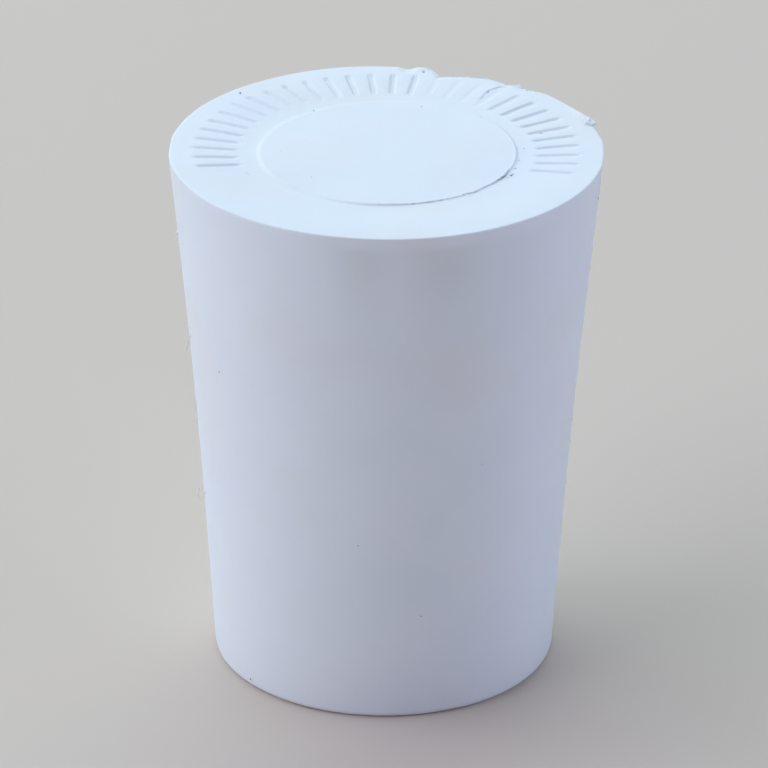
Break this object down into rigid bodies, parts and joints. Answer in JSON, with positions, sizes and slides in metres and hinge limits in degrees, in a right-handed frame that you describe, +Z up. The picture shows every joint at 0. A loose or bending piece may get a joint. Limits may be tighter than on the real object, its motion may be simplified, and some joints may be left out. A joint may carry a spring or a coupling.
{
  "type": "rubber stopper",
  "caption": "Solid tapered rubber stopper with a shallow round pad and a row of radial grooves on its top face, used to close a flask, a test tube or a small-necked jar.",
  "frame": {"origin": "centre of the small end face, which stands on the bench", "axes": "+Z up along the taper's axis, from the small end to the large end; -Y is the front, with the untouched side of the rim; the torn part of the rim is at +Y, towards +X"},
  "size_m": [0.02, 0.02, 0.0258],
  "materials": {
    "white_rubber": "matte"
  },
  "bodies": {
    "root": {"stopper": "white_rubber"}
  },
  "joints": []
}
